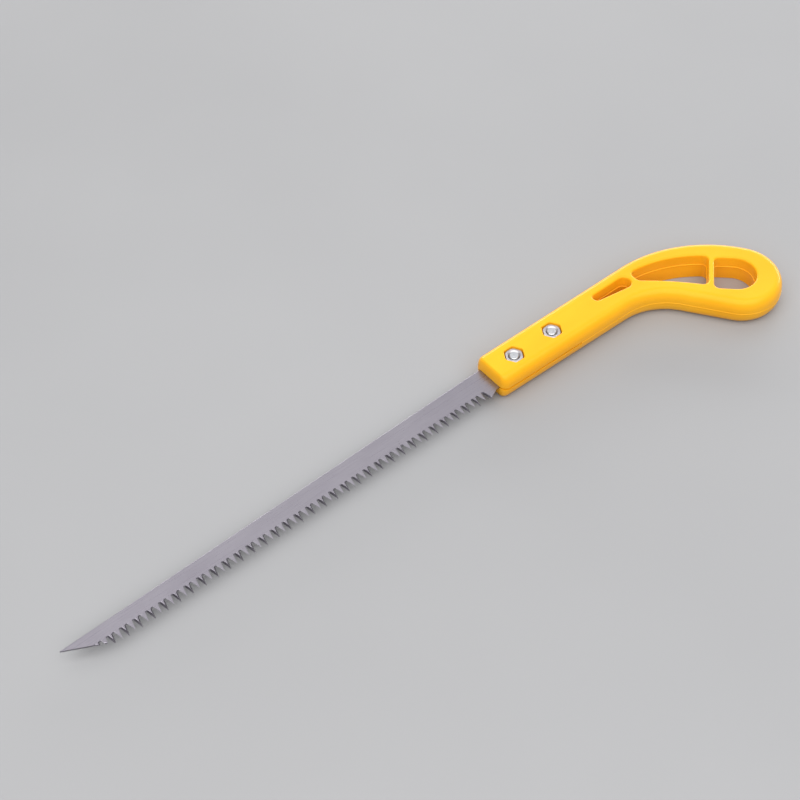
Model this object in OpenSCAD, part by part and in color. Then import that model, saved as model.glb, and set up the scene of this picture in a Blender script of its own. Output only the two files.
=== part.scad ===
// Drywall saw: a long pointed blade with coarse teeth, clamped by two screws
// in the slit of a one-piece moulded handle whose butt hooks round into a loop.
//
// The saw lies on its side. +X runs towards the blade's point, +Y towards the
// teeth, +Z up. The origin is under the middle of the whole saw's outline,
// on the surface that the handle lies on. The modules draw in the handle's own
// frame, whose x = 0 is the handle's front face and y = 0 its centre line, and
// placed() moves them to the origin above.

/* [Handle] */
// Distance from the screws' line to the back edge, at the front face
back_side = 13.7; // [13:0.1:15]
// Distance from the screws' line to the tooth-side edge, at the front face
tooth_side = 12.9; // [12.5:0.1:14]
// Angle that the tooth side opens rearwards
flare = 0.8; // [0:0.1:1.5]
// Thickness of the handle
handle_t = 18; // [17:0.5:20]
// Length of the straight back edge, from the front face to the curve
back_len = 118; // [113:1:123]
// Radius of the long curve of the back edge
back_r = 86.5; // [82:0.5:91]
// Angle that the back edge turns before the butt
back_angle = 57; // [55:1:59]
// Radius of the rounded butt
butt_r = 26.3; // [25.3:0.1:28]
// Angle of the butt's round
butt_angle = 178; // [175:1:179]
// Radius of the hollow curve in front of the hooked butt
palm_r = 37.5; // [34:0.5:42]
// How far the rounded sides reach in from the edge
side_round = 5.7; // [3:0.1:6]
// Radius of the front corner on the back side
corner_back_r = 4.4; // [4.3:0.1:7]
// Radius of the front corner on the tooth side
corner_tooth_r = 4.8; // [4.3:0.1:7]

/* [Blade] */
// Thickness of the blade
blade_t = 1.2; // [0.8:0.1:1.6]
// Length of blade that stands out of the handle
blade_len = 290; // [284:1:296]
// Distance between neighbouring tooth points
tooth_pitch = 4; // [3.9:0.1:4.1]
// Height of a tooth, root to point
tooth_h = 6.2; // [5:0.1:6.4]
// Number of tooth points, the heel tooth included
tooth_count = 67; // [61:2:67]
// Width of the bevel ground on the flanks of each tooth
bevel_w = 1.1; // [0.8:0.05:1.15]
// Angle between the back edge and the line of the tooth roots
taper_angle = 1.24; // [1.1:0.02:1.4]
// Slope of the plunge edge, which runs from the point to the first teeth
plunge_angle = 27.5; // [26:0.5:29]

/* [Screws] */
// Distance between the two screws
screw_gap = 30; // [28:1:32]
// Distance from the front face to the front screw
screw_inset = 18.5; // [16:0.5:22]
// Nominal thread diameter
thread_d = 6; // [5:1:6]
// Width of the nuts across their flats
nut_af = 10; // [9:0.5:10]
// Height of the nuts
nut_h = 4.8; // [4:0.1:5]
// Diameter of the screw heads
head_d = 12; // [10:0.5:12]
// Height of the screw heads
head_h = 3.6; // [3:0.1:4]
// Depth of the nut pockets and of the screw counterbores
nut_pocket = 6; // [5.5:0.1:6.2]
head_pocket = 5; // [4.5:0.1:5.2]

/* [Hidden] */

mid_z = handle_t / 2;
screw_x = [-screw_inset, -screw_inset - screw_gap];

function dir(a) = [cos(a), sin(a)];
// The point p with p * dir(a) = da and p * dir(b) = db.
function meet(a, da, b, db) = [da * sin(b) - db * sin(a), db * cos(a) - da * cos(b)] / sin(b - a);

// The handle's outline is a chain of arcs, in a frame with u = -x.
back_c = [back_len, back_r - back_side];
butt_c = back_c + (back_r - butt_r) * dir(back_angle - 90);
// Direction that the straight stretch between butt and hollow faces.
butt_end = back_angle + butt_angle - 90;
// Direction that the tooth side faces, and its distance from the origin.
tooth_out = 90 + flare;
tooth_dist = tooth_side * sin(tooth_out);
// The hollow runs out tangent to the tooth side and to the straight stretch.
palm_c = meet(tooth_out, tooth_dist + palm_r, butt_end, butt_c * dir(butt_end) + butt_r + palm_r);
// Where the sides come in by a millimetre, the front face comes in by
// front_lean, and the radii of its corners shrink by corner_lean.
front_lean = 0.4;
corner_lean = 0.7;

// Overall box in the handle's frame, used to place the origin.
x_max = blade_len;
x_min = -(butt_c.x + butt_r);
y_min = -back_side;
y_max = butt_c.y + butt_r;
origin = [(x_max + x_min) / 2, (y_max + y_min) / 2, 0];

// Windows cored through the handle, in the same u, y frame.
small_front_c = [88.1, -2.4];
small_front_r = 3;
small_rear_c = [109.1, -0.7];
small_rear_r = 4.7;
window_r = 4;              // corners of the long window and of the loop
long_front = 117;
long_outer_c = [112, 72.9];
long_outer_r = 78;
long_inner_c = [-5.8, 155.3];
long_inner_r = 195;
rib_axis = 46.6;           // direction across the rib between the hook's windows
rib_t = 2.8;
rib_dist = 128.8;          // from the frame's origin to the loop's side of the rib
loop_axis = 44;
loop_c = [166.5, 37.6];
loop_r = 13.5;

// Blade, in the handle's frame.
root_y = 5.3;
tip_y = -2.9;
heel_x = 8.9;              // point of the heel tooth
heel_y = 8.2;              // lower edge of the tang
tang_len = 60;
tang_clear = 1;
back_y0 = tip_y - blade_len * tan(taper_angle);
slit_t = blade_t + 0.05;
slit_wall = 4;             // handle wall left behind the blade's back edge
screw_clear = 0.3;
thread_clear = 0.05;
nut_clear = 0.75;
head_clear = 0.5;
eps = 1;                   // overshoot of the cutting shapes

function polar(c, r, a) = [c.x + r * cos(a), c.y + r * sin(a)];
function arc(c, r, a0, a1, n) = [for (i = [0:n]) polar(c, r, a0 + (a1 - a0) * i / n)];

// Corner of the front face, moved inwards by d, beside the side that faces a.
function front_corner(a, dist, radius, d, a0, a1) = let(r = radius - corner_lean * d)
    arc(meet(a, dist - d - r, 180, -front_lean * d - r), r, a0, a1, 5);

// Handle outline in the u, y frame, moved inwards by d.
function handle_outline(d) = concat(
    front_corner(270, back_side, corner_back_r, d, 180, 270),
    arc(back_c, back_r - d, 270, 270 + back_angle, 13),
    arc(butt_c, butt_r - d, 270 + back_angle, 360 + butt_end, 28),
    arc(palm_c, palm_r + d, 180 + butt_end, 180 + tooth_out, 10),
    front_corner(tooth_out, tooth_dist, corner_tooth_r, d, tooth_out, 180)
);

// Levels of the rounded shell, bottom to top: each is [height, inset].
// The sides are half ellipses, made a little fuller, that meet at a narrow upright band.
band_h = 0.6;
side_steps = 5;
side_power = 0.87;         // 1 gives plain half ellipses
side_levels = [for (i = [0:side_steps]) [
    band_h + (mid_z - band_h) * pow(sin(90 * i / side_steps), side_power),
    side_round * (1 - pow(cos(90 * i / side_steps), side_power))
]];
levels = concat(
    [for (i = [side_steps:-1:0]) [mid_z - side_levels[i][0], side_levels[i][1]]],
    [for (i = [0:side_steps]) [mid_z + side_levels[i][0], side_levels[i][1]]]
);

module placed() {
    translate(-origin) children();
}

// Turns a shape drawn in the u, y frame into the handle's frame.
module rearwards() {
    mirror([1, 0, 0]) children();
}

module handle_shell() {
    rings = [for (level = levels) handle_outline(level[1])];
    n = len(rings[0]);
    m = len(rings);
    points = [for (k = [0:m - 1]) for (p = rings[k]) [p.x, p.y, levels[k][0]]];
    walls = [for (k = [0:m - 2]) for (i = [0:n - 1])
        [k * n + i, (k + 1) * n + i, (k + 1) * n + (i + 1) % n, k * n + (i + 1) % n]];
    // Each flat face is a ladder of triangles between the outline's two sides.
    rungs = [for (i = [0:n / 2 - 2]) [i, i + 1, n - 1 - i, n - 2 - i]];
    bottom = [for (r = rungs) for (t = [[r[0], r[1], r[2]], [r[1], r[3], r[2]]]) t];
    top = [for (t = bottom) [for (i = [2:-1:0]) t[i] + (m - 1) * n]];
    polyhedron(points, concat(walls, bottom, top), convexity = 8);
}

// Half plane u cos(a) + y sin(a) < d, as a large square.
module side_of(a, d) {
    rotate(a) translate([d - 200, -200]) square([200, 400]);
}

// Small teardrop window behind the grip block.
module window_small() {
    hull() {
        translate(small_front_c) circle(r = small_front_r, $fn = 48);
        translate(small_rear_c) circle(r = small_rear_r, $fn = 64);
    }
}

// Long curved window that follows the back of the grip.
module window_long() {
    offset(r = window_r, $fn = 32)
        offset(delta = -window_r)
            difference() {
                intersection() {
                    translate(long_outer_c) circle(r = long_outer_r, $fn = 180);
                    side_of(rib_axis, rib_dist - rib_t);
                    translate([long_front, -10]) square([60, 60]);
                }
                translate(long_inner_c) circle(r = long_inner_r, $fn = 360);
            }
}

// D-shaped window of the hanging loop.
module window_loop() {
    offset(r = window_r, $fn = 32)
        offset(delta = -window_r)
            difference() {
                translate(loop_c)
                    rotate(loop_axis) {
                        circle(r = loop_r, $fn = 64);
                        translate([-2 * loop_r, -loop_r]) square([2 * loop_r, 2 * loop_r]);
                    }
                side_of(rib_axis, rib_dist);
            }
}

module windows() {
    translate([0, 0, -eps])
        linear_extrude(handle_t + 2 * eps) {
            window_small();
            window_long();
            window_loop();
        }
}

module screw_holes() {
    for (x = screw_x)
        translate([x, 0, 0]) {
            translate([0, 0, -eps])
                cylinder(h = handle_t + 2 * eps, d = thread_d + 2 * screw_clear, $fn = 48);
            translate([0, 0, -eps])
                cylinder(h = head_pocket + eps, d = head_d + 2 * head_clear, $fn = 64);
            translate([0, 0, handle_t - nut_pocket])
                cylinder(h = nut_pocket + eps, d = (nut_af + 2 * nut_clear) / cos(30), $fn = 6);
        }
}

module handle_slit() {
    translate([-tang_len - tang_clear, slit_wall - back_side, mid_z - slit_t / 2])
        cube([tang_len + tang_clear + eps, back_side + tooth_side, slit_t]);
}

module handle() {
    color([0.98, 0.76, 0.1])
        placed()
            difference() {
                rearwards() handle_shell();
                rearwards() windows();
                screw_holes();
                handle_slit();
            }
}

// Tooth roots and points from the heel forwards. Points past the plunge edge
// are cut off by it.
function tooth_x(j) = heel_x + tooth_pitch * j;
teeth_profile = [for (j = [0:tooth_count - 1]) for (s = [0, 1])
    s == 0 ? [tooth_x(j), root_y + tooth_h] : [tooth_x(j) + tooth_pitch / 2, root_y]];

// Curved edge that runs from the heel tooth's point into the slit.
heel_curve_r = 6;
heel_edge = arc([0.5, heel_y + heel_curve_r], heel_curve_r, 270, 302, 6);

module blade_profile() {
    difference() {
        polygon(concat(
            [[-tang_len, back_y0 + 3], [-tang_len, heel_y]],
            heel_edge,
            teeth_profile,
            [[x_max, root_y], [x_max, tip_y], [0, back_y0], [-screw_inset - screw_gap, back_y0]]
        ));
        // plunge edge
        translate([x_max, tip_y])
            rotate(-plunge_angle)
                translate([-60, 0]) square([80, 30]);
    }
}

// Wedge that bevels one flank of a tooth at 45 degrees. It runs along +x from
// the tooth's point, with the tooth on its -y side, and leaves the lower face
// sharp.
module flank_wedge() {
    reach = 0.4;           // how far the wedge starts before the point, and stands off the flank
    runout = 0.6;          // how far it runs past the root
    rotate([90, 0, 90])
        translate([0, 0, -reach])
            linear_extrude(reach + tooth_h + runout)
                polygon([[reach, -reach], [reach, blade_t + eps], [-bevel_w - eps, blade_t + eps]]);
}

// Bevels of all teeth: every other tooth is ground from the other face.
module tooth_bevels() {
    flank = atan2(tooth_h, tooth_pitch / 2);
    for (j = [0:tooth_count - 1])
        translate([tooth_x(j), root_y + tooth_h, 0])
            for (side = [0, 1])
                if (j > 0 || side == 0)
                    mirror([side, 0, 0])
                        translate([0, 0, j % 2 == 0 ? 0 : blade_t])
                            mirror([0, 0, j % 2])
                                rotate(-flank) flank_wedge();
}

module blade() {
    color([0.68, 0.67, 0.7])
        placed()
            translate([0, 0, mid_z - blade_t / 2])
                difference() {
                    linear_extrude(blade_t) blade_profile();
                    tooth_bevels();
                    for (x = screw_x)
                        translate([x, 0, -eps])
                            cylinder(h = blade_t + 2 * eps, d = thread_d + 2 * screw_clear, $fn = 48);
                }
}

screw_end_out = 0.2;       // the thread's end stands out of the nut by this
tip_h = 0.6;               // chamfer at the thread's end
tip_d = 4.7;
rim_h = 1.6;               // upright part of the screw head
recess_l = 6.4;            // arms of the cross recess
recess_w = 1.2;
recess_h = 2.2;

// Cross-recessed pan-head screw, head down, with its bearing face on z = 0.
module screw() {
    shank_l = handle_t - head_pocket - nut_pocket + nut_h + screw_end_out;
    shank_d = thread_d - 2 * thread_clear;
    head_r = head_d / 2;
    dome_r = (head_r * head_r + pow(head_h - rim_h, 2)) / (2 * (head_h - rim_h));
    difference() {
        union() {
            cylinder(h = shank_l - tip_h, d = shank_d, $fn = 48);
            translate([0, 0, shank_l - tip_h])
                cylinder(h = tip_h, d1 = shank_d, d2 = tip_d, $fn = 48);
            intersection() {
                translate([0, 0, -head_h]) cylinder(h = head_h, d = head_d, $fn = 64);
                translate([0, 0, dome_r - head_h]) sphere(r = dome_r, $fn = 64);
            }
        }
        for (a = [0, 90])
            rotate(a)
                translate([-recess_l / 2, -recess_w / 2, -head_h - eps])
                    cube([recess_l, recess_w, eps + recess_h]);
    }
}

module placed_screw(i) {
    color([0.8, 0.8, 0.82])
        placed()
            translate([screw_x[i], 0, head_pocket]) screw();
}

module screw_front() {
    placed_screw(0);
}

module screw_rear() {
    placed_screw(1);
}

chamfer_angle = 30;        // slope of the nut's chamfers
face_out = 0.15;           // the nut's round face comes in from the flats by this
sink_d = 7.2;              // countersinks at both ends of the nut's thread
sink_h = 0.6;
overlap = 0.01;

// Hexagon nut with both rims of its corners chamfered.
module nut() {
    corner_r = nut_af / 2 / cos(30);
    face_r = nut_af / 2 - face_out;
    drop = (corner_r - face_r) * tan(chamfer_angle);
    difference() {
        intersection() {
            cylinder(h = nut_h, r = corner_r, $fn = 6);
            rotate_extrude($fn = 64)
                polygon([
                    [0, 0], [face_r, 0], [corner_r, drop],
                    [corner_r, nut_h - drop], [face_r, nut_h], [0, nut_h]
                ]);
        }
        translate([0, 0, -eps]) cylinder(h = nut_h + 2 * eps, d = thread_d, $fn = 48);
        for (side = [0, 1])
            translate([0, 0, side * nut_h])
                mirror([0, 0, side])
                    translate([0, 0, -overlap])
                        cylinder(h = sink_h + overlap, d1 = sink_d, d2 = thread_d, $fn = 48);
    }
}

module placed_nut(i) {
    color([0.8, 0.8, 0.82])
        placed()
            translate([screw_x[i], 0, handle_t - nut_pocket]) nut();
}

module nut_front() {
    placed_nut(0);
}

module nut_rear() {
    placed_nut(1);
}

handle();
blade();
screw_front();
screw_rear();
nut_front();
nut_rear();
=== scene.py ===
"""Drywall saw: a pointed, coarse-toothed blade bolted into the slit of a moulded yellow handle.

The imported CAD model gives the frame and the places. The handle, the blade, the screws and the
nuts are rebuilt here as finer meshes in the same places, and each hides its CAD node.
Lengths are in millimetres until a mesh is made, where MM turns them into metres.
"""

import math

import bmesh
import bpy
from mathutils import Matrix, Vector
from mathutils.geometry import delaunay_2d_cdt


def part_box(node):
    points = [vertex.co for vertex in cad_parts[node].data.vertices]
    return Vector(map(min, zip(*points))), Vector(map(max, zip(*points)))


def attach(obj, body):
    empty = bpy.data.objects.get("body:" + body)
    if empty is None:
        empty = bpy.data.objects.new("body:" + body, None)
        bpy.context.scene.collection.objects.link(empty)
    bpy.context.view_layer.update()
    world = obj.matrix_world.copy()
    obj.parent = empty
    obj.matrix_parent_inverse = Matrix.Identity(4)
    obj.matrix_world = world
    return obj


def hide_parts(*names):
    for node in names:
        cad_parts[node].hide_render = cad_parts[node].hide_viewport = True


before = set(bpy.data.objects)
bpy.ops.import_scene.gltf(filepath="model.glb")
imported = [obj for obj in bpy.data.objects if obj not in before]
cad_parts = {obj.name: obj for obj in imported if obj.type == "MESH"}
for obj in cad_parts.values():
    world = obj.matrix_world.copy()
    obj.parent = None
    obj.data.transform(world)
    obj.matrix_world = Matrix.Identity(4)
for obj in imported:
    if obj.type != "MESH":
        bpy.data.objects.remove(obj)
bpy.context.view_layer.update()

MM = 0.001
LEVEL = 0.9999                                # a face whose normal is this upright is level
MERGE_MM = 1e-7                               # outline points nearer than this are one point
WELD, WELD_LOOSE = 1e-7, 1e-6                 # mesh points nearer than this, in metres, are joined
SHARP_DEGREES = 38                            # edges that turn more than this are shaded sharp
ROUND_STEPS = 72                              # sides of a round hole, a screw or a nut


# ---------------------------------------------------------------- places from the frame

def box_mm(node):
    low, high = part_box(node)
    return Vector(low) / MM, Vector(high) / MM


def middle_x(node):
    low, high = box_mm(node)
    return (low.x + high.x) / 2


handle_low, handle_high = box_mm("handle")
blade_low, blade_high = box_mm("blade")
nut_low, nut_high = box_mm("nut_front")

FRONT_X = handle_high.x                       # the handle's front face
AXIS_Y = (nut_low.y + nut_high.y) / 2         # the handle's centre line
HANDLE_T = handle_high.z - handle_low.z
MID_Z = (handle_low.z + handle_high.z) / 2
BLADE_T = blade_high.z - blade_low.z
SCREW_X = [middle_x(node) - FRONT_X for node in ("nut_front", "nut_rear")]


def place(u, y, z):
    """A point of the handle's own frame, u backwards from the front face, in the shared frame."""
    return Vector((FRONT_X - u, AXIS_Y + y, z)) * MM


# ---------------------------------------------------------------- mesh helpers

def direction(degrees):
    a = math.radians(degrees)
    return Vector((math.cos(a), math.sin(a)))


def angle_of(v):
    return math.degrees(math.atan2(v.y, v.x))


def meet(normal_a, dist_a, normal_b, dist_b):
    """The point p with p . normal_a = dist_a and p . normal_b = dist_b."""
    det = normal_a.cross(normal_b)
    return Vector((
        dist_a * normal_b.y - dist_b * normal_a.y, dist_b * normal_a.x - dist_a * normal_b.x
    )) / det


def crossing(a, b, c, d):
    """Where the line through a and b crosses the line through c and d."""
    ab, cd = b - a, d - c
    t = (c - a).cross(cd) / ab.cross(cd)
    return a + t * ab


def circle_meets(c, r, normal, dist, side):
    """Where a circle crosses the line p . normal = dist."""
    gap = dist - c.dot(normal)
    across = math.sqrt(max(r * r - gap * gap, 0))
    return c + gap * normal + side * across * Vector((-normal.y, normal.x))


class Arc:
    """One arc of an outline. For each millimetre that the outline is moved outwards, the radius
    grows by bulge, which is negative where the arc is hollow, and the centre moves by slide."""

    def __init__(self, centre, radius, start, end, steps, bulge=1, slide=(0, 0)):
        self.centre, self.radius, self.steps, self.bulge = Vector(centre), radius, steps, bulge
        self.start, self.end, self.slide = start, end, Vector(slide)

    def points(self, out):
        r = self.radius + self.bulge * out
        centre = self.centre + self.slide * out
        turn = (self.end - self.start) / self.steps
        return [centre + r * direction(self.start + turn * i) for i in range(self.steps + 1)]


def outline(arcs, out=0.0):
    """The closed outline through the arcs, moved outwards by out."""
    return [p for arc in arcs for p in arc.points(out)]


def add_ring(bm, points, z):
    return [bm.verts.new(place(p.x, p.y, z)) for p in points]


def circle(r):
    return [r * direction(360 * i / ROUND_STEPS) for i in range(ROUND_STEPS)]


def ring_at(bm, x, points, z):
    """A ring of the points about the screw at x."""
    return add_ring(bm, [Vector((-x, 0)) + p for p in points], z)


def skin(bm, lower, upper):
    n = len(lower)
    for i in range(n):
        bm.faces.new((lower[i], lower[(i + 1) % n], upper[(i + 1) % n], upper[i]))


def inside(point, loops):
    """Whether the point lies in the first loop and in none of the others, by crossings."""
    crossings = 0
    for loop in loops:
        for p, q in zip(loop, loop[1:] + loop[:1]):
            if (p.y > point.y) != (q.y > point.y):
                at = p.x + (point.y - p.y) / (q.y - p.y) * (q.x - p.x)
                crossings += point.x < at
    return crossings % 2 == 1


def fill_flat(bm, loops):
    """Fills the level region that the first ring of vertices bounds, less the other rings."""
    flat = [[v.co.xy / MM for v in loop] for loop in loops]
    verts = [v for loop in loops for v in loop]
    points = [p for loop in flat for p in loop]
    edges, start = [], 0
    for loop in flat:
        n = len(loop)
        edges += [(start + i, start + (i + 1) % n) for i in range(n)]
        start += n
    made, _, triangles, sources, _, _ = delaunay_2d_cdt(points, edges, [], 1, MERGE_MM)
    for triangle in triangles:
        middle = sum((made[i] for i in triangle), Vector((0, 0))) / 3
        if inside(middle, flat):
            bm.faces.new([verts[sources[i][0]] for i in triangle])


def mark_sharp(bm, sharp_degrees):
    limit = math.radians(sharp_degrees)
    for edge in bm.edges:
        edge.smooth = len(edge.link_faces) == 2 and edge.calc_face_angle(0) < limit


def new_object(bm, name):
    """Turns the finished bm into an object in the scene."""
    mesh = bpy.data.meshes.new(name)
    bm.to_mesh(mesh)
    bm.free()
    made = bpy.data.objects.new(name, mesh)
    bpy.context.scene.collection.objects.link(made)
    return made


def finish_mesh(bm, name, sharp_degrees=SHARP_DEGREES):
    """Level faces are shaded flat, so that the rounds beside them don't tint them."""
    bmesh.ops.remove_doubles(bm, verts=bm.verts, dist=WELD)
    bmesh.ops.recalc_face_normals(bm, faces=bm.faces)
    for face in bm.faces:
        face.smooth = abs(face.normal.z) < LEVEL
    mark_sharp(bm, sharp_degrees)
    return new_object(bm, name)


def cut_away(piece, cutter, sharp_degrees=SHARP_DEGREES):
    """Subtracts the closed mesh cutter from the piece and removes it."""
    modifier = piece.modifiers.new("cut", "BOOLEAN")
    modifier.operation = "DIFFERENCE"
    modifier.solver = "EXACT"
    modifier.object = cutter
    depsgraph = bpy.context.evaluated_depsgraph_get()
    mesh = bpy.data.meshes.new_from_object(piece.evaluated_get(depsgraph))
    piece.modifiers.clear()
    old = piece.data
    piece.data = mesh
    bpy.data.meshes.remove(old)
    bpy.data.meshes.remove(cutter.data)
    bm = bmesh.new()
    bm.from_mesh(piece.data)
    mark_sharp(bm, sharp_degrees)
    bm.to_mesh(piece.data)
    bm.free()


# ---------------------------------------------------------------- handle

BACK_SIDE, TOOTH_SIDE = 13.7, 12.9             # from the screws' line to the edges at the front
FLARE = 0.8                                    # degrees that the tooth side opens rearwards
BACK_LEN, BACK_R, BACK_ANGLE = 118, 86.5, 57   # the back edge runs straight, then in an arc
BUTT_R, BUTT_ANGLE = 26.3, 178                 # the arc round the butt
PALM_R = 37.5                                  # the hollow arc on the tooth side
CORNER_BACK_R, CORNER_TOOTH_R = 4.4, 4.8       # corners of the front face
SIDE_ROUND = 5.7                               # how far the sides come in at the faces
# Where the sides come in by a millimetre, the front face comes in by FRONT_LEAN and the radii of
# its corners shrink by CORNER_LEAN.
FRONT_LEAN, CORNER_LEAN = 0.4, 0.7


back_c = Vector((BACK_LEN, BACK_R - BACK_SIDE))
butt_c = back_c + (BACK_R - BUTT_R) * direction(BACK_ANGLE - 90)
butt_end = BACK_ANGLE + BUTT_ANGLE - 90
web_out, tooth_out = direction(butt_end), direction(90 + FLARE)
tooth_dist = TOOTH_SIDE * tooth_out.y
palm_c = meet(
    tooth_out, tooth_dist + PALM_R, web_out, butt_c.dot(web_out) + BUTT_R + PALM_R
)


def front_corner(side_out, side_dist, radius, start, end):
    """The rounded corner between the front face and the side at side_dist along side_out."""
    front_out = Vector((-1, 0))
    centre = meet(side_out, side_dist - radius, front_out, -radius)
    slide = meet(side_out, 1 - CORNER_LEAN, front_out, FRONT_LEAN - CORNER_LEAN)
    return Arc(centre, radius, start, end, 14, CORNER_LEAN, slide)


HANDLE_ARCS = [
    front_corner(Vector((0, -1)), BACK_SIDE, CORNER_BACK_R, 180, 270),
    Arc(back_c, BACK_R, 270, 270 + BACK_ANGLE, 60),
    Arc(butt_c, BUTT_R, 270 + BACK_ANGLE, 360 + butt_end, 84),
    Arc(palm_c, PALM_R, 180 + butt_end, 270 + FLARE, 40, -1),
    front_corner(tooth_out, tooth_dist, CORNER_TOOTH_R, 90 + FLARE, 180),
]

# Heights above the middle plane, with how far the side stands in from the widest outline.
# A fine ridge of flash runs round the parting line in the middle.
FLASH_H, FLASH_OUT = 0.22, 0.16
FLASH_FOOT = 0.12                              # height of the slope at the foot of the flash
BAND_H = 0.6                                   # half the upright band in the middle
SIDE_STEPS = 14
SIDE_POWER = 0.87                              # 1 gives half ellipses, less makes them fuller
side_profile = [(FLASH_H, -FLASH_OUT), (FLASH_H + FLASH_FOOT, 0.0)] + [
    (BAND_H + (HANDLE_T / 2 - BAND_H) * math.sin(math.radians(90 * i / SIDE_STEPS)) ** SIDE_POWER,
     SIDE_ROUND * (1 - math.cos(math.radians(90 * i / SIDE_STEPS)) ** SIDE_POWER))
    for i in range(1, SIDE_STEPS + 1)
]

# Windows: their walls slope in from both faces to a parting line, and their rims are rounded.
# The small window is two circles with their tangents; the long one lies between two big arcs.
SMALL_FRONT_C, SMALL_FRONT_R = Vector((88.1, -2.4)), 3.0
SMALL_REAR_C, SMALL_REAR_R = Vector((109.1, -0.7)), 4.7
LONG_FRONT = 117                               # the long window's front end
LONG_OUTER_C, LONG_OUTER_R = Vector((112, 72.9)), 78.0
LONG_INNER_C, LONG_INNER_R = Vector((-5.8, 155.3)), 195
WINDOW_R = 4.0                                 # corners of the long and the loop window
# The loop window runs back along LOOP_AXIS. The rib before it is square to RIB_AXIS, and its rear
# face is RIB_DIST along that.
LOOP_AXIS, RIB_AXIS = 44, 46.6
RIB_T, RIB_DIST = 2.8, 128.8
LOOP_C, LOOP_R = Vector((166.5, 37.6)), 13.5
TOP_RIM_R, LOW_RIM_R = 1.3, 0.3
RIM_STEPS = 6
RIM_IN = 0.3                                   # how far the wall beside a rim stands inside the outline
DRAFT, PARTING_UP = 0.45, 1.0                  # narrowing at the parting line, its height over MID_Z
WINDOW_FLASH_OUT, WINDOW_FLASH_FOOT = 0.3, 0.15
LONG_SLANT = 1.4                               # the long window's foot leans to the tooth side


def rounded_rim(r):
    """A rim's rounding as (distance from the face, how far the wall stands out)."""
    turns = [math.radians(90 * i / RIM_STEPS) for i in range(RIM_STEPS + 1)]
    return [(r * (1 - math.sin(a)), r * (1 - math.cos(a)) - RIM_IN) for a in turns]


def window_wall():
    """The wall of a window as (height above the floor, how far it stands out)."""
    z = MID_Z + PARTING_UP
    ridge, foot = -DRAFT - WINDOW_FLASH_OUT, FLASH_H + WINDOW_FLASH_FOOT
    low = rounded_rim(LOW_RIM_R)[::-1]
    high = [(HANDLE_T - h, d) for h, d in rounded_rim(TOP_RIM_R)]
    parting = [(z - foot, -DRAFT), (z - FLASH_H, ridge), (z + FLASH_H, ridge), (z + foot, -DRAFT)]
    return low + parting + high


def small_window_arcs():
    """Two circles of different size, joined by their outer tangents."""
    way = SMALL_REAR_C - SMALL_FRONT_C
    axis = angle_of(way)
    spread = 90 + math.degrees(math.asin((SMALL_REAR_R - SMALL_FRONT_R) / way.length))
    return [
        Arc(SMALL_REAR_C, SMALL_REAR_R, axis - spread, axis + spread, 26),
        Arc(SMALL_FRONT_C, SMALL_FRONT_R, axis + spread, axis - spread + 360, 14),
    ]


def long_window_arcs():
    r = WINDOW_R
    outer_c, outer_r = LONG_OUTER_C, LONG_OUTER_R
    inner_c, inner_r = LONG_INNER_C, LONG_INNER_R
    axis = direction(RIB_AXIS)
    front_u = LONG_FRONT + r
    rib = RIB_DIST - RIB_T - r
    front_outer = circle_meets(outer_c, outer_r - r, Vector((1, 0)), front_u, -1)
    rib_outer = circle_meets(outer_c, outer_r - r, axis, rib, -1)
    rib_inner = circle_meets(inner_c, inner_r + r, axis, rib, -1)
    front_inner = circle_meets(inner_c, inner_r + r, Vector((1, 0)), front_u, -1)
    out0, out1 = angle_of(front_outer - outer_c) % 360, angle_of(rib_outer - outer_c) % 360
    in0, in1 = angle_of(inner_c - rib_inner) % 360, angle_of(inner_c - front_inner) % 360
    return [
        Arc(front_outer, r, 180, out0, 9),
        Arc(outer_c, outer_r, out0, out1, 36),
        Arc(rib_outer, r, out1, 360 + RIB_AXIS, 10),
        Arc(rib_inner, r, RIB_AXIS, in0, 9),
        Arc(inner_c, inner_r, in0 + 180, in1 + 180, 24, -1),
        Arc(front_inner, r, in1, 180, 6),
    ]


def loop_window_arcs():
    rib, across = direction(RIB_AXIS), direction(LOOP_AXIS + 90)
    corners = [
        meet(rib, RIB_DIST + WINDOW_R, across, LOOP_C.dot(across) + side * (LOOP_R - WINDOW_R))
        for side in (1, -1)
    ]
    return [
        Arc(LOOP_C, LOOP_R, LOOP_AXIS - 90, LOOP_AXIS + 90, 48),
        Arc(corners[0], WINDOW_R, LOOP_AXIS + 90, RIB_AXIS + 180, 10),
        Arc(corners[1], WINDOW_R, RIB_AXIS + 180, LOOP_AXIS + 270, 10),
    ]


def loft(bm, arcs, stack, slant=0.0):
    """Skins the outline through the levels of stack and returns the lowest and highest ring.
    slant is how far the foot leans to the tooth side below the parting line."""
    rings = []
    for z, d in stack:
        lean = Vector((0, slant * max(0, 1 - z / (MID_Z + PARTING_UP))))
        rings.append(add_ring(bm, [p + lean for p in outline(arcs, d)], z))
    for lower, upper in zip(rings, rings[1:]):
        skin(bm, lower, upper)
    return rings[0], rings[-1]


# Screw holes: a hexagon pocket on top, a bore, and a round counterbore below.
NUT_POCKET, HEAD_POCKET = 6.0, 5.0
POCKET_AF = 11.5
HEAD_HOLE_R = 6.5
BORE_R = 3.3
HOLE_RIM = 0.35                                # chamfer round the screw holes' mouths
POCKET_BLUNT = 0.3
# The nut pocket's mouth, in rims: (wider across the flats, down from the top).
POCKET_MOUTH = [(0, 1), (0.25, 0.45), (1.6, 0)]


def hexagon(af, blunt):
    """A hexagon with corners on the u axis, each cut back by blunt."""
    corner = af / 2 / math.cos(math.radians(30)) - blunt
    points = []
    for i in range(ROUND_STEPS):
        a = 360 * i / ROUND_STEPS
        flat = af / 2 / math.cos(math.radians(a % 60 - 30))
        points.append(min(flat, corner) * direction(a))
    return points


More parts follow.
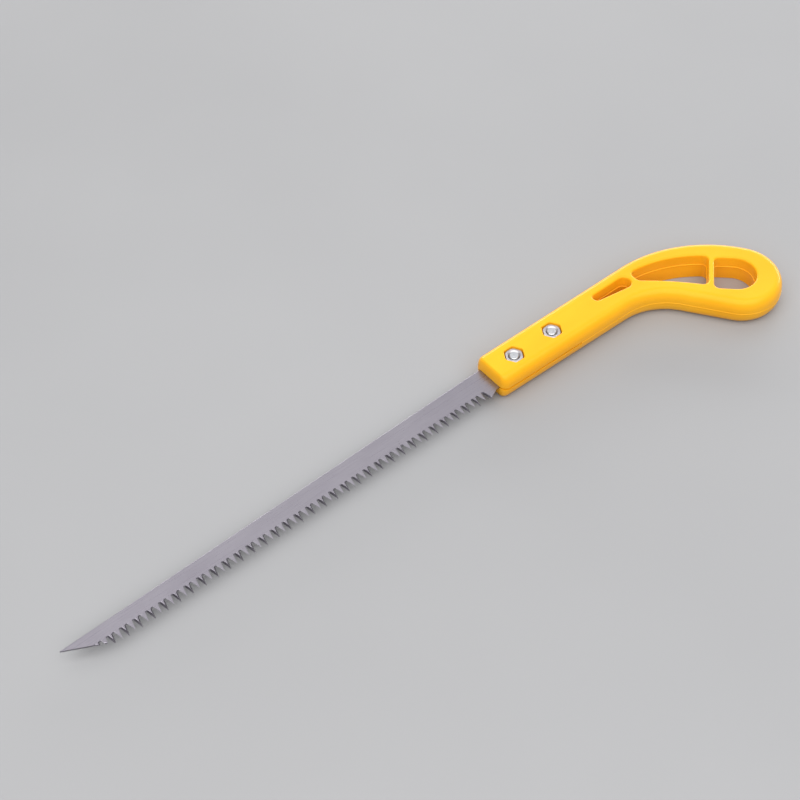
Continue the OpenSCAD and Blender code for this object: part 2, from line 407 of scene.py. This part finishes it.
def screw_hole(bm, x):
    stack = [
        (circle(HEAD_HOLE_R + HOLE_RIM), 0),
        (circle(HEAD_HOLE_R), HOLE_RIM),
        (circle(HEAD_HOLE_R), HEAD_POCKET),
        (circle(BORE_R), HEAD_POCKET),
        (circle(BORE_R), HANDLE_T - NUT_POCKET),
        (hexagon(POCKET_AF, POCKET_BLUNT), HANDLE_T - NUT_POCKET),
    ]
    stack += [
        (hexagon(POCKET_AF + wider * HOLE_RIM, POCKET_BLUNT), HANDLE_T - down * HOLE_RIM)
        for wider, down in POCKET_MOUTH
    ]
    rings = [ring_at(bm, x, points, z) for points, z in stack]
    for lower, upper in zip(rings, rings[1:]):
        skin(bm, lower, upper)
    return rings[0], rings[-1]


def box_cutter(low, high):
    bm = bmesh.new()
    bmesh.ops.create_cube(bm, size=1)
    size = high - low
    for v in bm.verts:
        v.co = Vector(low[i] + (v.co[i] + 0.5) * size[i] for i in range(3))
    return new_object(bm, "cutter")


TANG_LEN, TANG_CLEAR = 60, 1                   # the blade in the handle, the slit's play behind it
SLIT_WALL = 4                                  # what closes the slit on the back side
SLIT_T = BLADE_T + 0.1
PAST = 5                                       # how far the slit's cutter stands out of the handle


def make_handle():
    bm = bmesh.new()
    side = [(MID_Z - h, -d) for h, d in reversed(side_profile)]
    side += [(MID_Z + h, -d) for h, d in side_profile]
    shell = loft(bm, HANDLE_ARCS, side)
    holes = [
        loft(bm, small_window_arcs(), window_wall()),
        loft(bm, long_window_arcs(), window_wall(), LONG_SLANT),
        loft(bm, loop_window_arcs(), window_wall()),
    ]
    holes += [screw_hole(bm, x) for x in SCREW_X]
    for end in (0, 1):
        fill_flat(bm, [shell[end]] + [hole[end] for hole in holes])
    piece = finish_mesh(bm, "handle_body")
    slit_low = place(TANG_LEN + TANG_CLEAR, SLIT_WALL - BACK_SIDE, MID_Z - SLIT_T / 2)
    slit_high = place(-PAST, BACK_SIDE + PAST, MID_Z + SLIT_T / 2)
    cut_away(piece, box_cutter(slit_low, slit_high))
    return piece


# ---------------------------------------------------------------- blade

# In these helpers x runs forwards from the handle's front face.
BLADE_LEN = blade_high.x - FRONT_X
PITCH, TOOTH_COUNT = 4.0, 67
ROOT_Y, TOOTH_H = 5.3, 6.2                     # the line that the teeth rise from, their height
HEEL_X, HEEL_Y = 8.9, 8.2                      # the heel tooth's point, the tang's lower edge
HEEL_CURVE_X, HEEL_CURVE_R = 0.5, 6            # the hollow curve before the heel tooth
HEEL_CURVE_END, HEEL_STEPS = 302, 10
BACK_STATIONS = [240, 180, 120, 60, 0]         # where the back edge has vertices
TIP_Y = -2.9
TAPER = math.tan(math.radians(1.24))           # slope of the back edge
PLUNGE = math.radians(27.5)                    # slope of the edge that ends in the point
SET_UP, SET_DOWN = 0.35, 0.45                  # how far the points are bent out of the middle
SET_POWER = 1.3                                # the bend grows towards the point
EDGE_BREAK, BREAK_DEGREES = 0.2, 50
BLADE_SHARP = 30
BLADE_END = BLADE_LEN + 2                      # the blank's end, past the point that is cut later
BACK_X = [BLADE_END] + BACK_STATIONS + [-TANG_LEN]

# One half of a gullet, from its lowest place to the tooth's point, as (across, up) from the
# middle of the roots' line: on the face a flank is ground from, and on the other face.
GROUND_HALF = [(0, -0.5), (0.38, -0.48), (0.78, -0.35), (1.1, -0.07), (1.3, 0.35)]
FULL_HALF = [(0, -0.5), (0.2, -0.46), (0.38, -0.33), (0.5, -0.1), (0.55, 0.25)]
GROUND_FOOT = len(GROUND_HALF) - 1
GROUND_TOP, FULL_TOP = 2.9, TOOTH_H
FLANK_STEPS = 4

# The back edge is rolled over a little: (in from the edge, down from the face).
BACK_ROLL = [(0.22, 0), (0.09, 0.03), (0.02, 0.09), (0, 0.19)]


def gullet_half(ground):
    foot = GROUND_HALF if ground else FULL_HALF
    top = (PITCH / 2, GROUND_TOP if ground else FULL_TOP)
    (x0, y0), (x1, y1) = foot[-1], top
    flank = [(x0 + (x1 - x0) * k / FLANK_STEPS, y0 + (y1 - y0) * k / FLANK_STEPS)
             for k in range(1, FLANK_STEPS + 1)]
    return foot + flank


def back_y(x):
    return TIP_Y + (max(x, 0) - BLADE_LEN) * TAPER


def tooth_set(j, y):
    lean = max(0, (y - ROOT_Y) / TOOTH_H) ** SET_POWER
    return lean * (SET_UP if j % 2 else -SET_DOWN)


def face_z(top):
    return MID_Z + (BLADE_T / 2 if top else -BLADE_T / 2)


def heel_path(top):
    """The heel's edge from the tang to the bevel of the heel tooth."""
    curve = [
        Vector((HEEL_CURVE_X, HEEL_Y + HEEL_CURVE_R)) + HEEL_CURVE_R * direction(a)
        for a in (270 + (HEEL_CURVE_END - 270) * i / HEEL_STEPS for i in range(HEEL_STEPS + 1))
    ]
    point = Vector((HEEL_X, ROOT_Y + TOOTH_H))
    if top:
        a = heel_flank(top)[GROUND_FOOT]
        b = a + Vector((GROUND_HALF[-1][0] - PITCH / 2, GROUND_TOP - GROUND_HALF[-1][1]))
        corner = crossing(a, b, curve[-1], point)
    else:
        corner = point
    return curve + [curve[-1].lerp(corner, k / FLANK_STEPS) for k in range(1, FLANK_STEPS + 1)]


def heel_flank(top):
    """The heel tooth's ground flank from the gullet to its foot."""
    middle = HEEL_X + PITCH / 2
    return [Vector((middle - dx, ROOT_Y + dy)) for dx, dy in gullet_half(top)]


def tooth_side(j, top, side):
    """A flank of tooth j as (x, y) points, side -1 towards the heel and 1 towards the tip."""
    ground = (j % 2 == 0) == top
    point_x = HEEL_X + PITCH * j
    return [Vector((point_x + side * (PITCH / 2 - dx), ROOT_Y + dy)) for dx, dy in gullet_half(ground)]


def blade_verts(bm, points, z):
    return [bm.verts.new(place(-p.x, p.y, z)) for p in points]


def tooth_sides(bm, j, top):
    """Both flanks of tooth j, which is bent out of the blade's plane."""
    return [
        [bm.verts.new(place(-p.x, p.y, face_z(top) + tooth_set(j, p.y)))
         for p in tooth_side(j, top, side)]
        for side in (-1, 1)
    ]


def strip(bm, a, b):
    for i in range(len(a) - 1):
        bm.faces.new((a[i], a[i + 1], b[i + 1], b[i]))


def blade_face(bm, top):
    """Fills one face of the blade and its teeth. Returns the rows of vertices along its edges and
    the rings round its holes, from which the walls between the two faces are made."""
    z = face_z(top)
    back = [Vector((x, back_y(x) + BACK_ROLL[0][0])) for x in BACK_X]
    heel = [Vector((-TANG_LEN, HEEL_Y))] + heel_path(top)
    flank = heel_flank(top)
    foot, corner = flank[GROUND_FOOT], heel[-1]
    flank = flank[:GROUND_FOOT] + [foot.lerp(corner, k / FLANK_STEPS) for k in range(FLANK_STEPS + 1)]
    gullets = [Vector((HEEL_X + PITCH * (j + 0.5), ROOT_Y + GROUND_HALF[0][1]))
               for j in range(1, TOOTH_COUNT)]
    end = [Vector((BLADE_END, gullets[-1].y))]
    outer = blade_verts(bm, back + heel + flank[-2::-1] + gullets + end, z)
    holes = [ring_at(bm, x, circle(BORE_R), z) for x in SCREW_X]
    fill_flat(bm, [outer] + holes)
    heel_edges = [blade_verts(bm, heel, z), blade_verts(bm, flank, z)]
    tooth_edges = []
    for j in range(1, TOOTH_COUNT):
        strip(bm, *tooth_sides(bm, j, top))
        tooth_edges += tooth_sides(bm, j, top)
    return tooth_edges + heel_edges, holes


def roll_back_edge(bm):
    """The back edge's rounding from the upper face to the lower, and the end of the tang."""
    roll = [(d, face_z(True) - h) for d, h in BACK_ROLL]
    roll += [(d, face_z(False) + h) for d, h in reversed(BACK_ROLL)]
    rows = [blade_verts(bm, [Vector((x, back_y(x) + d)) for x in BACK_X], z) for d, z in roll]
    for a, b in zip(rows, rows[1:]):
        strip(bm, a, b)
    bm.faces.new([row[-1] for row in rows] + [
        bm.verts.new(place(TANG_LEN, HEEL_Y, face_z(top))) for top in (False, True)
    ])


def cut_point(bm):
    """Cuts the blank off along the plunge edge and closes the cut."""
    bmesh.ops.bisect_plane(
        bm, geom=bm.verts[:] + bm.edges[:] + bm.faces[:], clear_outer=True,
        plane_co=place(-BLADE_LEN, TIP_Y, 0), plane_no=Vector((math.sin(PLUNGE), math.cos(PLUNGE), 0)),
    )
    bmesh.ops.holes_fill(bm, edges=[e for e in bm.edges if e.is_boundary], sides=0)
    bmesh.ops.recalc_face_normals(bm, faces=bm.faces)


def break_edges(bm):
    """Bevels the sharp edges in front of the handle."""
    front = place(0, 0, 0).x
    limit = math.radians(BREAK_DEGREES)
    sharp = [e for e in bm.edges if len(e.link_faces) == 2
             and e.calc_face_angle(0) > limit and min(v.co.x for v in e.verts) > front]
    bmesh.ops.bevel(bm, geom=sharp, offset=EDGE_BREAK * MM, segments=2, profile=0.5,
                    affect="EDGES", clamp_overlap=True)


def make_blade():
    bm = bmesh.new()
    upper_edges, upper_holes = blade_face(bm, True)
    lower_edges, lower_holes = blade_face(bm, False)
    for a, b in zip(upper_edges, lower_edges):
        strip(bm, a, b)
    for a, b in zip(upper_holes, lower_holes):
        skin(bm, a, b)
    roll_back_edge(bm)
    bmesh.ops.remove_doubles(bm, verts=bm.verts, dist=WELD_LOOSE)
    cut_point(bm)
    break_edges(bm)
    return finish_mesh(bm, "blade_body", BLADE_SHARP)


# ---------------------------------------------------------------- screws and nuts

THREAD_R, THREAD_PITCH, THREAD_DEPTH = 2.95, 1.0, 0.5
HEAD_R, HEAD_H, HEAD_RIM = 6.0, 3.6, 1.6
DOME_STEPS = 12
SHANK_LEN = 12.0
HEAD_EDGE = 0.25                               # chamfer under the head
# Heights within one turn of the thread: end of the crest, start and end of the root.
CREST_END, ROOT_START, ROOT_END = 0.12, 0.46, 0.66
THREAD_FROM, THREAD_TO = 1, 0.5                # plain lengths under the head and at the end
# The screw's chamfered end, as (in from the thread's crest, down from the end).
SCREW_END = [(0, 0.45), (0.32, 0.1), (0.45, 0)]
# The face of the screw's end is slightly hollow: (radius, down from the end).
END_HOLLOW = [(1.2, 0.05), (0, 0.08)]
# An arm of the cross, tapering towards its floor: (half length, half width, depth in the head).
CROSS_ROWS = [(3.2, 0.62, -1), (3.0, 0.58, 0), (2.0, 0.42, 2.2)]
CROSS_TURN = 24
SCREW_SHARP, NUT_SHARP = 35, 24
NUT_AF, NUT_H = 10.0, 4.8
NUT_RIM_OUT, NUT_CHAMFER = 0.2, 30             # the chamfer starts outside the flats, in degrees
NUT_BLUNT = 0.12
NUT_SLIVER = 0.02                              # least width of the chamfer, amid a flat
NUT_MOUTH = [(3.95, 0), (3.8, 0.12), (2.96, 0.8)]  # the bore's mouth as (radius, depth)


def lathe(bm, profile, x):
    """Skins a profile of (radius, height) round the axis of the screw at x; radius 0 closes it."""
    rings = []
    for r, z in profile:
        if r == 0:
            rings.append([bm.verts.new(place(-x, 0, z))] * ROUND_STEPS)
        else:
            rings.append(ring_at(bm, x, circle(r), z))
    for lower, upper in zip(rings, rings[1:]):
        for i in range(ROUND_STEPS):
            k = (i + 1) % ROUND_STEPS
            corners = list(dict.fromkeys((lower[i], lower[k], upper[k], upper[i])))
            bm.faces.new(corners)


def screw_profile():
    """Pan head, shank with thread grooves, and a chamfered end, from below upwards."""
    low = HEAD_POCKET - HEAD_H
    dome = HEAD_H - HEAD_RIM
    dome_r = (HEAD_R ** 2 + dome ** 2) / (2 * dome)
    top_angle = math.degrees(math.asin(HEAD_R / dome_r))
    profile = [(0, low)]
    for i in range(1, DOME_STEPS + 1):
        a = math.radians(top_angle * i / DOME_STEPS)
        profile.append((dome_r * math.sin(a), low + dome_r * (1 - math.cos(a))))
    profile += [
        (HEAD_R, HEAD_POCKET - HEAD_EDGE), (HEAD_R - HEAD_EDGE, HEAD_POCKET), (THREAD_R, HEAD_POCKET)
    ]
    end = HEAD_POCKET + SHANK_LEN
    z = HEAD_POCKET + THREAD_FROM
    while z + THREAD_PITCH < end - THREAD_TO:
        profile += [
            (THREAD_R, z), (THREAD_R, z + CREST_END),
            (THREAD_R - THREAD_DEPTH, z + ROOT_START), (THREAD_R - THREAD_DEPTH, z + ROOT_END),
        ]
        z += THREAD_PITCH
    profile += [(THREAD_R - inset, end - down) for inset, down in SCREW_END]
    return profile + [(r, end - down) for r, down in END_HOLLOW]


def cross_cutter(x, turn):
    """The bar that cuts two opposite arms of the drive recess."""
    bm = bmesh.new()
    spin = Matrix.Rotation(math.radians(turn + CROSS_TURN), 2)
    low = HEAD_POCKET - HEAD_H
    rings = []
    for length, width, depth in CROSS_ROWS:
        corners = [Vector((length, width)), Vector((-length, width)),
                   Vector((-length, -width)), Vector((length, -width))]
        rings.append(ring_at(bm, x, [spin @ c for c in corners], low + depth))
    for lower, upper in zip(rings, rings[1:]):
        skin(bm, lower, upper)
    for ring in (rings[0], rings[-1]):
        bm.faces.new(ring)
    return finish_mesh(bm, "cutter")


def make_screw(name, x):
    bm = bmesh.new()
    lathe(bm, screw_profile(), x)
    piece = finish_mesh(bm, name, SCREW_SHARP)
    for turn in (0, 90):
        cut_away(piece, cross_cutter(x, turn), SCREW_SHARP)
    return piece


def make_nut(name, x):
    bm = bmesh.new()
    low = HANDLE_T - NUT_POCKET
    top = low + NUT_H
    rim_r = NUT_AF / 2 + NUT_RIM_OUT
    slope = math.tan(math.radians(NUT_CHAMFER))
    hexa = hexagon(NUT_AF, NUT_BLUNT)
    drops = [max(NUT_SLIVER, p.length - rim_r) * slope for p in hexa]
    rim = [min(rim_r, p.length - NUT_SLIVER) * p.normalized() for p in hexa]

    def ring(points, heights):
        return [bm.verts.new(place(p.x - x, p.y, z)) for p, z in zip(points, heights)]

    def level(points, z):
        return ring(points, [z] * len(hexa))

    stack = [level(circle(r), low + h) for r, h in reversed(NUT_MOUTH)]
    stack += [
        level(rim, low),
        ring(hexa, [low + d for d in drops]),
        ring(hexa, [top - d for d in drops]),
        level(rim, top),
    ]
    stack += [level(circle(r), top - h) for r, h in NUT_MOUTH]
    for lower, upper in zip(stack, stack[1:] + stack[:1]):
        skin(bm, lower, upper)
    return finish_mesh(bm, name, NUT_SHARP)


# ---------------------------------------------------------------- materials

class Nodes:
    """Builds one node material with short calls."""

    def __init__(self, name):
        self.material = bpy.data.materials.new(name)
        self.material.use_nodes = True
        self.tree = self.material.node_tree
        self.shader = self.tree.nodes["Principled BSDF"]
        self.coords = self.tree.nodes.new("ShaderNodeTexCoord").outputs["Object"]

    def node(self, kind, **values):
        made = self.tree.nodes.new(kind)
        for key, value in values.items():
            setattr(made, key, value)
        return made

    def link(self, a, b):
        self.tree.links.new(a, b)

    def scaled(self, scale):
        mapping = self.node("ShaderNodeMapping")
        mapping.inputs["Scale"].default_value = scale
        self.link(self.coords, mapping.inputs["Vector"])
        return mapping.outputs["Vector"]

    def noise(self, scale, detail=3.0, roughness=0.55, stretch=(1, 1, 1)):
        made = self.node("ShaderNodeTexNoise")
        made.inputs["Scale"].default_value = scale
        made.inputs["Detail"].default_value = detail
        made.inputs["Roughness"].default_value = roughness
        self.link(self.scaled(stretch), made.inputs["Vector"])
        return made.outputs["Fac"]

    def spread(self, value, low, high, to_low, to_high):
        made = self.node("ShaderNodeMapRange")
        made.inputs["From Min"].default_value, made.inputs["From Max"].default_value = low, high
        made.inputs["To Min"].default_value, made.inputs["To Max"].default_value = to_low, to_high
        self.link(value, made.inputs["Value"])
        return made.outputs["Result"]

    def maths(self, operation, a, b):
        made = self.node("ShaderNodeMath", operation=operation)
        for slot, value in zip(made.inputs, (a, b)):
            if isinstance(value, (int, float)):
                slot.default_value = value
            else:
                self.link(value, slot)
        return made.outputs["Value"]

    def mix(self, factor, a, b):
        made = self.node("ShaderNodeMix", data_type="RGBA")
        self.link(factor, made.inputs[0])
        for slot, value in ((made.inputs[6], a), (made.inputs[7], b)):
            if isinstance(value, tuple):
                slot.default_value = (*value, 1)
            else:
                self.link(value, slot)
        return made.outputs[2]

    def bump(self, height, depth, after=None):
        """height 0..1 stands for depth in metres; after is another bump's output to add to."""
        made = self.node("ShaderNodeBump")
        made.inputs["Strength"].default_value = 1
        made.inputs["Distance"].default_value = depth
        self.link(height, made.inputs["Height"])
        if after is not None:
            self.link(after, made.inputs["Normal"])
        return made.outputs["Normal"]

    def finish(self, colour, roughness, normal, **constants):
        self.link(colour, self.shader.inputs["Base Color"])
        self.link(roughness, self.shader.inputs["Roughness"])
        self.link(normal, self.shader.inputs["Normal"])
        for key, value in constants.items():
            self.shader.inputs[key.replace("_", " ")].default_value = value
        return self.material


def plastic_material():
    """Glossy moulded plastic: a faint moulding grain, flow marks and light handling scratches."""
    n = Nodes("moulded_plastic")
    flow = n.noise(14, 2, stretch=(1, 2.5, 2.5))
    grain = n.noise(2600, 2)
    waves = n.noise(60, 2)
    scratch = n.noise(90, 4, 0.7, stretch=(1, 9, 9))
    scratch = n.spread(scratch, 0.63, 0.70, 0, 1)
    dust = n.spread(n.noise(900, 2), 0.70, 0.74, 0, 1)
    colour = n.mix(n.spread(flow, 0.35, 0.65, 0, 1), (0.90, 0.40, 0.010), (0.93, 0.445, 0.014))
    colour = n.mix(n.maths("MULTIPLY", dust, 0.25), colour, (0.62, 0.42, 0.10))
    rough = n.spread(grain, 0.3, 0.7, 0.27, 0.36)
    rough = n.maths("ADD", rough, n.maths("MULTIPLY", scratch, 0.12))
    normal = n.bump(waves, 0.00012)
    normal = n.bump(grain, 0.000012, after=normal)
    normal = n.bump(scratch, 0.000008, after=normal)
    return n.finish(colour, rough, normal, IOR=1.42, Specular_Tint=(1, 0.85, 0.4, 1))


def steel_material():
    """Cold-rolled strip: fine lengthwise brushing, faint clouds and small dark specks."""
    n = Nodes("brushed_blade_steel")
    brush = n.noise(40, 4, 0.65, stretch=(1, 90, 90))
    fine = n.noise(160, 3, 0.6, stretch=(1, 30, 30))
    cloud = n.noise(22, 3, stretch=(1, 2, 2))
    specks = n.spread(n.noise(1300, 2), 0.715, 0.76, 0, 1)
    tone = n.maths("ADD", n.maths("MULTIPLY", brush, 0.5), n.maths("MULTIPLY", cloud, 0.5))
    colour = n.mix(n.spread(tone, 0.35, 0.65, 0, 1), (0.275, 0.257, 0.295), (0.335, 0.317, 0.355))
    colour = n.mix(n.maths("MULTIPLY", specks, 0.7), colour, (0.07, 0.06, 0.055))
    rough = n.spread(brush, 0.3, 0.7, 0.26, 0.34)
    normal = n.bump(brush, 0.000010)
    normal = n.bump(fine, 0.000006, after=normal)
    return n.finish(colour, rough, normal, Metallic=1.0)


def zinc_material(name, low, high):
    """Bright zinc plating: soft mottling, fine pits and a little wear."""
    n = Nodes(name)
    mottle = n.noise(700, 3)
    pits = n.noise(3200, 2)
    wear = n.spread(n.noise(380, 4, 0.7), 0.58, 0.70, 0, 1)
    colour = n.mix(n.spread(mottle, 0.35, 0.65, 0, 1), low, high)
    colour = n.mix(n.maths("MULTIPLY", wear, 0.35), colour, (0.45, 0.43, 0.46))
    rough = n.spread(mottle, 0.3, 0.7, 0.34, 0.5)
    normal = n.bump(pits, 0.000014)
    normal = n.bump(mottle, 0.000025, after=normal)
    return n.finish(colour, rough, normal, Metallic=1.0)


def floor_material():
    n = Nodes("pale_floor")
    cloud = n.noise(3, 3)
    tooth = n.noise(900, 2)
    colour = n.mix(n.spread(cloud, 0.3, 0.7, 0, 1), (0.31, 0.31, 0.315), (0.33, 0.33, 0.335))
    rough = n.spread(tooth, 0.3, 0.7, 0.5, 0.6)
    return n.finish(colour, rough, n.bump(tooth, 0.00001))


# ---------------------------------------------------------------- assemble

def dress(piece, node, material):
    piece.data.materials.clear()
    piece.data.materials.append(material)
    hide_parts(node)
    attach(piece, "root")


dress(make_handle(), "handle", plastic_material())
dress(make_blade(), "blade", steel_material())
screw_zinc = zinc_material("screw_zinc_plate", (0.49, 0.51, 0.535), (0.595, 0.605, 0.63))
nut_zinc = zinc_material("nut_zinc_plate", (0.51, 0.49, 0.52), (0.605, 0.595, 0.61))
for end, x in zip(("front", "rear"), SCREW_X):
    dress(make_screw("screw_body_" + end, x), "screw_" + end, screw_zinc)
    dress(make_nut("nut_body_" + end, x), "nut_" + end, nut_zinc)


# ---------------------------------------------------------------- floor, light and camera

# Metres from here on.
FLOOR_HALF, FLOOR_CELLS = 1.6, 8


def make_floor():
    bm = bmesh.new()
    bmesh.ops.create_grid(bm, x_segments=FLOOR_CELLS, y_segments=FLOOR_CELLS, size=FLOOR_HALF)
    floor = new_object(bm, "floor")
    floor.data.materials.append(floor_material())


def add_softbox(name, position, size, watts):
    """A rectangular area light that faces the saw."""
    light = bpy.data.lights.new(name, "AREA")
    light.shape = "RECTANGLE"
    light.size, light.size_y = size
    light.energy = watts
    lamp = bpy.data.objects.new(name, light)
    lamp.location = position
    lamp.rotation_euler = (-position).to_track_quat("-Z", "Y").to_euler()
    bpy.context.scene.collection.objects.link(lamp)


HEADING = Vector((-0.60591, -0.79553, 0))      # the camera looks along this over the floor
PITCH_DOWN, ROLL = 0.872861, 0.037253
CAMERA_AT = Vector((0.33880, 0.39294, 0.66990))
FOCAL_MM, SENSOR_MM = 66.68, 36
UP = Vector((0, 0, 1))
ACROSS = HEADING.cross(UP)                     # to the right in the picture
ROOM_COLOUR, ROOM_STRENGTH = (0.97, 0.97, 1, 1), 0.35


def add_camera():
    forward = HEADING * math.cos(PITCH_DOWN) - UP * math.sin(PITCH_DOWN)
    down = -HEADING * math.sin(PITCH_DOWN) - UP * math.cos(PITCH_DOWN)
    right = ACROSS * math.cos(ROLL) + down * math.sin(ROLL)
    below = down * math.cos(ROLL) - ACROSS * math.sin(ROLL)
    turn = Matrix((right, -below, -forward)).transposed().to_4x4()
    data = bpy.data.cameras.new("camera")
    data.lens = FOCAL_MM
    data.sensor_width = SENSOR_MM
    data.clip_start = 0.01
    camera = bpy.data.objects.new("camera", data)
    camera.matrix_world = Matrix.Translation(CAMERA_AT) @ turn
    bpy.context.scene.collection.objects.link(camera)
    bpy.context.scene.camera = camera


def light_room():
    """An even, dim room."""
    world = bpy.data.worlds.new("studio")
    world.use_nodes = True
    background = world.node_tree.nodes["Background"]
    background.inputs["Color"].default_value = ROOM_COLOUR
    background.inputs["Strength"].default_value = ROOM_STRENGTH
    bpy.context.scene.world = world


make_floor()
add_softbox("overhead", -HEADING * 0.6 + UP * 1.4, (3.0, 2.2), 48)
add_softbox("back_strip", HEADING * 2.63 + ACROSS * 0.68 + UP * 0.56, (6.1, 0.68), 92)
add_softbox("front_panel", HEADING * 1.55 + UP * 1.85, (2.6, 1.4), 9)
add_softbox("tip_panel", Vector((0.2, -1.0, 1.45)), (1.0, 0.9), 0.85)
light_room()
bpy.context.scene.view_settings.view_transform = "Standard"
add_camera()
